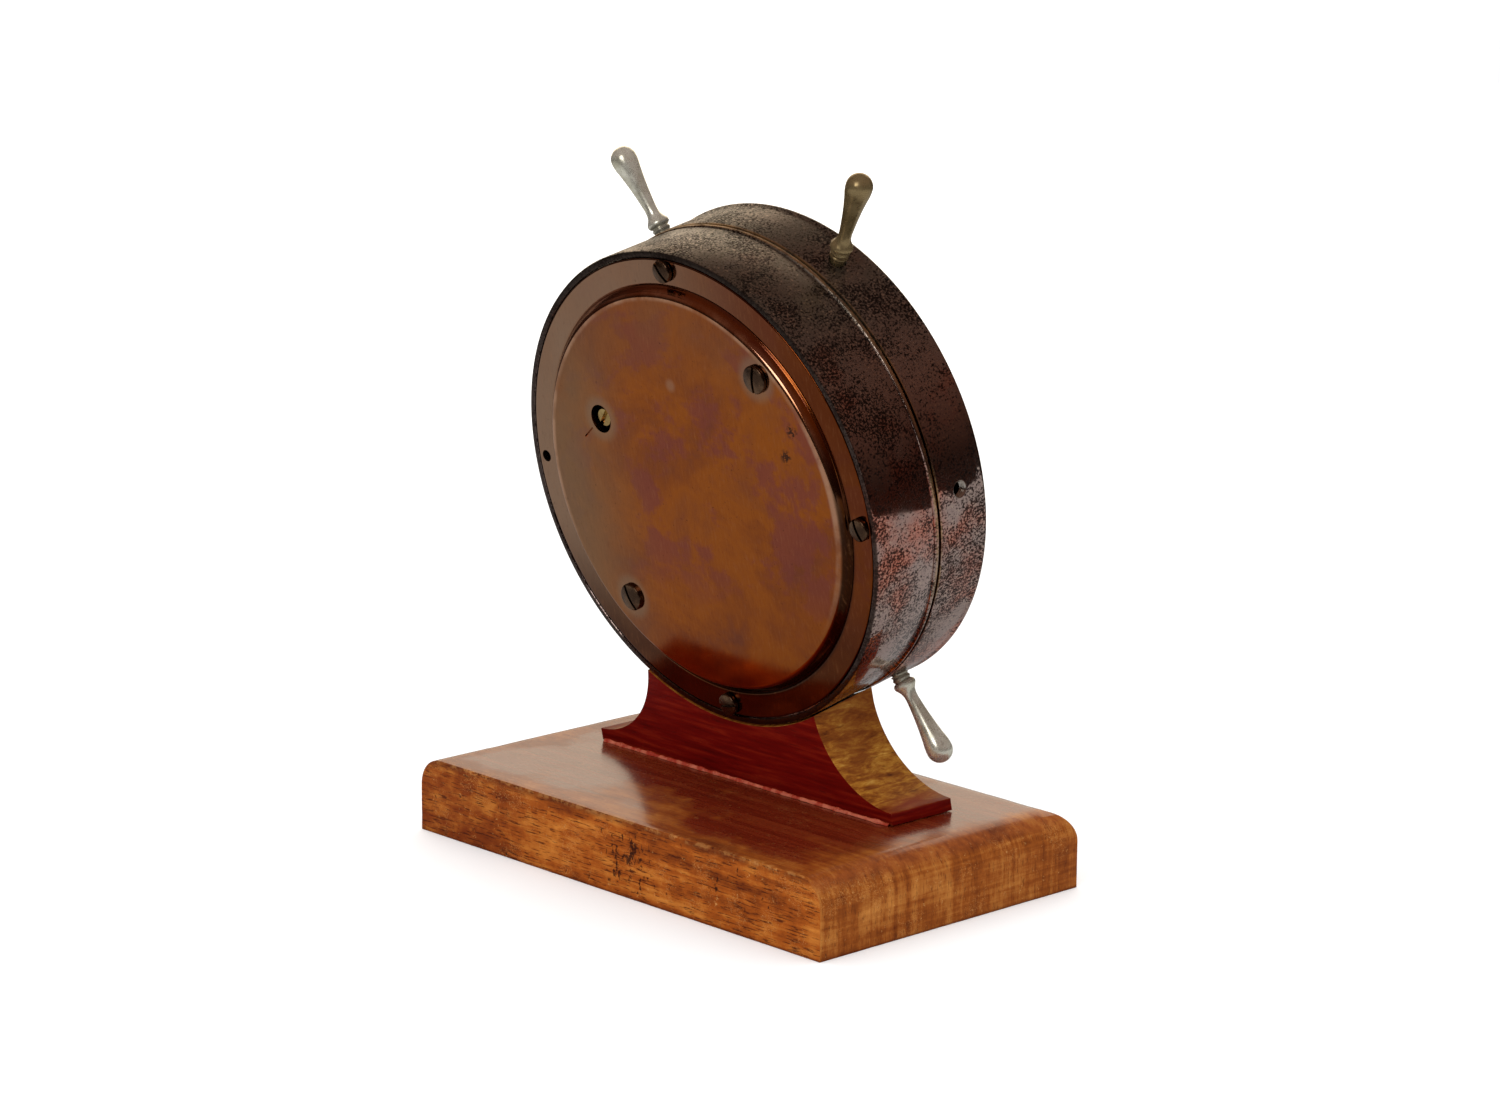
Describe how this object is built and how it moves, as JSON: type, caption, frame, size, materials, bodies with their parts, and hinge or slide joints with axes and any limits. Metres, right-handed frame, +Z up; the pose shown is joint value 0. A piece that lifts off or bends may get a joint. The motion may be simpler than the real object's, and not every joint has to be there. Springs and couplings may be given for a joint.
{
  "type": "ship's deck clock",
  "caption": "Drum-cased marine deck clock leaning back in a wooden cradle, with a hinged bezel and turned handle spokes.",
  "frame": {"origin": "centre of the base board's underside", "axes": "+Z up, +Y towards the back cover, so the dial faces -Y; +X to the right when looking at the dial"},
  "size_m": [0.167, 0.0918, 0.1857],
  "materials": {
    "mahogany": "polished",
    "red_lacquer": "lacquered",
    "bronze": "dark lacquered",
    "copper": "patinated",
    "dark_steel": "oxidised",
    "nickel": "aged plating",
    "brass": "satin",
    "steel": "polished",
    "blued_steel": "blued",
    "glass": "clear",
    "dial_white": "matte",
    "black_paint": "satin"
  },
  "bodies": {
    "case": {"base_board": "mahogany", "base_screw_left": "steel", "base_screw_right": "steel", "cradle": "red_lacquer", "cradle_screw_left": "steel", "cradle_screw_right": "steel", "rear_case": "bronze", "back_cover": "copper", "cover_screw_top": "dark_steel", "cover_screw_side": "dark_steel", "cover_screw_bottom": "dark_steel", "movement_screw_a": "dark_steel", "movement_screw_b": "dark_steel", "hinge_leaf_case": "bronze", "hinge_pin": "brass", "pillar_plate": "brass", "front_plate": "brass", "dial": "dial_white", "click_spring": "blued_steel", "balance_cock": "brass", "hairspring": "blued_steel"},
    "bezel": {"front_bezel": "bronze", "glass": "glass", "glass_ring": "brass", "spoke_1": "nickel", "spoke_2": "nickel", "spoke_3": "nickel", "spoke_4": "nickel", "spoke_5": "nickel", "hinge_leaf_bezel": "bronze"},
    "minute_group": {"minute_hand": "black_paint", "cannon_pinion": "steel", "hand_nut": "brass"},
    "minute_wheel_group": {"minute_wheel": "brass"},
    "hour_group": {"hour_hand": "black_paint", "hour_wheel": "brass"},
    "fourth_group": {"fourth_wheel": "brass", "fourth_arbor": "steel", "seconds_hand": "black_paint"},
    "third_group": {"third_wheel": "brass", "third_arbor": "steel"},
    "centre_group": {"centre_wheel": "brass", "centre_arbor": "steel"},
    "second_group": {"second_wheel": "brass", "second_arbor": "steel"},
    "barrel_group": {"mainspring_barrel": "brass", "mainspring": "steel"},
    "escape_group": {"escape_wheel": "brass", "escape_arbor": "steel"},
    "winding_group": {"barrel_arbor": "steel", "ratchet_wheel": "steel"},
    "click_group": {"click": "steel"},
    "lever_group": {"pallet_lever": "steel"},
    "balance_group": {"balance_wheel": "brass", "balance_staff": "steel"},
    "regulator_screw_group": {"regulator_screw": "brass"},
    "regulator_index_group": {"regulator_index": "steel"}
  },
  "joints": [
    {"name": "bezel_hinge", "type": "hinge", "parent": "case", "child": "bezel", "pos_m": [0.0673, -0.00504, 0.10505], "axis": [0, 0.1994, 0.9799], "range_deg": [0, 100]},
    {"name": "minute_hand_spin", "type": "hinge", "parent": "case", "child": "minute_group", "pos_m": [0, -0.01376, 0.10682], "axis": [0, 0.9799, -0.1994], "continuous": true},
    {"name": "minute_wheel_spin", "type": "hinge", "parent": "case", "child": "minute_wheel_group", "pos_m": [-0.00902, -0.00883, 0.10247], "axis": [0, 0.9799, -0.1994], "continuous": true},
    {"name": "hour_hand_spin", "type": "hinge", "parent": "case", "child": "hour_group", "pos_m": [0, -0.0118, 0.10642], "axis": [0, 0.9799, -0.1994], "continuous": true},
    {"name": "fourth_wheel_spin", "type": "hinge", "parent": "case", "child": "fourth_group", "pos_m": [0, -0.00796, 0.08013], "axis": [0, 0.9799, -0.1994], "continuous": true},
    {"name": "third_wheel_spin", "type": "hinge", "parent": "case", "child": "third_group", "pos_m": [-0.00611, -0.00164, 0.09115], "axis": [0, 0.9799, -0.1994], "continuous": true},
    {"name": "centre_wheel_spin", "type": "hinge", "parent": "case", "child": "centre_group", "pos_m": [0, -0.00298, 0.10463], "axis": [0, 0.9799, -0.1994], "continuous": true},
    {"name": "second_wheel_spin", "type": "hinge", "parent": "case", "child": "second_group", "pos_m": [-0.01414, 0.00212, 0.10962], "axis": [0, 0.9799, -0.1994], "continuous": true},
    {"name": "barrel_spin", "type": "hinge", "parent": "case", "child": "barrel_group", "pos_m": [0, 0.00809, 0.12891], "axis": [0, 0.9799, -0.1994], "continuous": true},
    {"name": "escape_wheel_spin", "type": "hinge", "parent": "case", "child": "escape_group", "pos_m": [0.01028, -0.00065, 0.08599], "axis": [0, 0.9799, -0.1994], "continuous": true},
    {"name": "winding_spin", "type": "hinge", "parent": "case", "child": "winding_group", "pos_m": [0, 0.0022, 0.1301], "axis": [0, 0.9799, -0.1994], "continuous": true},
    {"name": "click_lift", "type": "hinge", "parent": "case", "child": "click_group", "pos_m": [-0.01169, -0.00135, 0.13772], "axis": [0, -0.9799, 0.1994], "range_deg": [0, 7], "stiffness_Nm_per_rad": 0.0002},
    {"name": "lever_rock", "type": "hinge", "parent": "case", "child": "lever_group", "pos_m": [0.01626, 0.00035, 0.0909], "axis": [0, -0.9799, 0.1994], "range_deg": [-4, 4]},
    {"name": "balance_swing", "type": "hinge", "parent": "case", "child": "balance_group", "pos_m": [0.02269, 0.00535, 0.0954], "axis": [0, -0.9799, 0.1994], "range_deg": [-150, 150], "stiffness_Nm_per_rad": 0.000015},
    {"name": "regulator_screw_turn", "type": "hinge", "parent": "case", "child": "regulator_screw_group", "pos_m": [0.0308, 0.01683, 0.11672], "axis": [0, -0.9799, 0.1994], "range_deg": [-45, 45]},
    {"name": "regulator_index_swing", "type": "hinge", "parent": "case", "child": "regulator_index_group", "pos_m": [0.02269, 0.0127, 0.0939], "axis": [0, -0.9799, 0.1994], "range_deg": [-1.5, 1.5]}
  ],
  "couplings": [
    {"joint": "minute_wheel_spin", "follows": "minute_hand_spin", "ratio": -0.33333},
    {"joint": "hour_hand_spin", "follows": "minute_hand_spin", "ratio": 0.083333},
    {"joint": "escape_wheel_spin", "follows": "fourth_wheel_spin", "ratio": -8},
    {"joint": "third_wheel_spin", "follows": "fourth_wheel_spin", "ratio": -0.13333},
    {"joint": "centre_wheel_spin", "follows": "fourth_wheel_spin", "ratio": 0.016667},
    {"joint": "second_wheel_spin", "follows": "fourth_wheel_spin", "ratio": -0.0027778},
    {"joint": "barrel_spin", "follows": "fourth_wheel_spin", "ratio": 0.00046296},
    {"joint": "regulator_index_swing", "follows": "regulator_screw_turn", "ratio": 0.031544}
  ]
}
